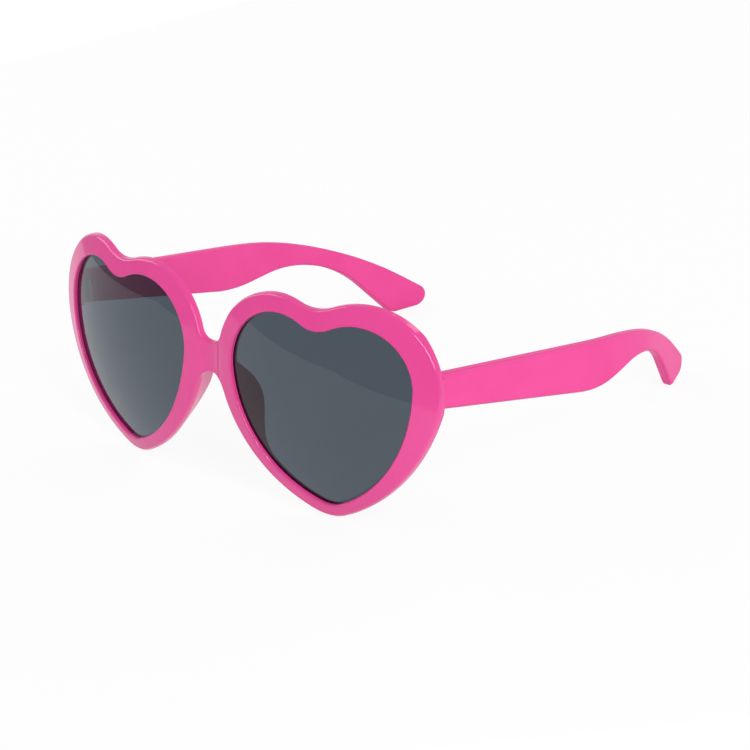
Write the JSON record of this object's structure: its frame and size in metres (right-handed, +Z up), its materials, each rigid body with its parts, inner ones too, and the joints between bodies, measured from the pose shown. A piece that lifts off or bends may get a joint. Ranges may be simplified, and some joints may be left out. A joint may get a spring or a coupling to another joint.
{
  "type": "heart shaped sunglasses",
  "caption": "Heart shaped sunglasses: a glossy one-piece front with moulded nose pads, smoked domed lenses and temples that fold in on screwed hinges.",
  "frame": {"origin": "middle of the footprint, on the plane that the heart tips and the ends of the temples stand on", "axes": "+X to the wearer's left, +Y backwards along the open temples, +Z up"},
  "size_m": [0.147, 0.1494, 0.062],
  "materials": {
    "front": "polished moulded pink",
    "temple": "satin moulded pink",
    "lens": "polished smoke grey, see-through",
    "hinge": "stamped, slightly brushed",
    "screw": "turned, bright"
  },
  "bodies": {
    "front": {"front_frame": "front", "left_lens": "lens", "right_lens": "lens", "left_front_hinge": "hinge", "right_front_hinge": "hinge", "left_hinge_screw": "screw", "right_hinge_screw": "screw"},
    "left_arm": {"left_temple": "temple", "left_temple_hinge": "hinge"},
    "right_arm": {"right_temple": "temple", "right_temple_hinge": "hinge"}
  },
  "joints": [
    {"name": "left_temple_fold", "type": "hinge", "parent": "front", "child": "left_arm", "pos_m": [0.0668, -0.05746, 0.04], "axis": [0, 0, 1], "range_deg": [0, 85]},
    {"name": "right_temple_fold", "type": "hinge", "parent": "front", "child": "right_arm", "pos_m": [-0.0668, -0.05746, 0.04], "axis": [0, 0, -1], "range_deg": [0, 78]}
  ]
}
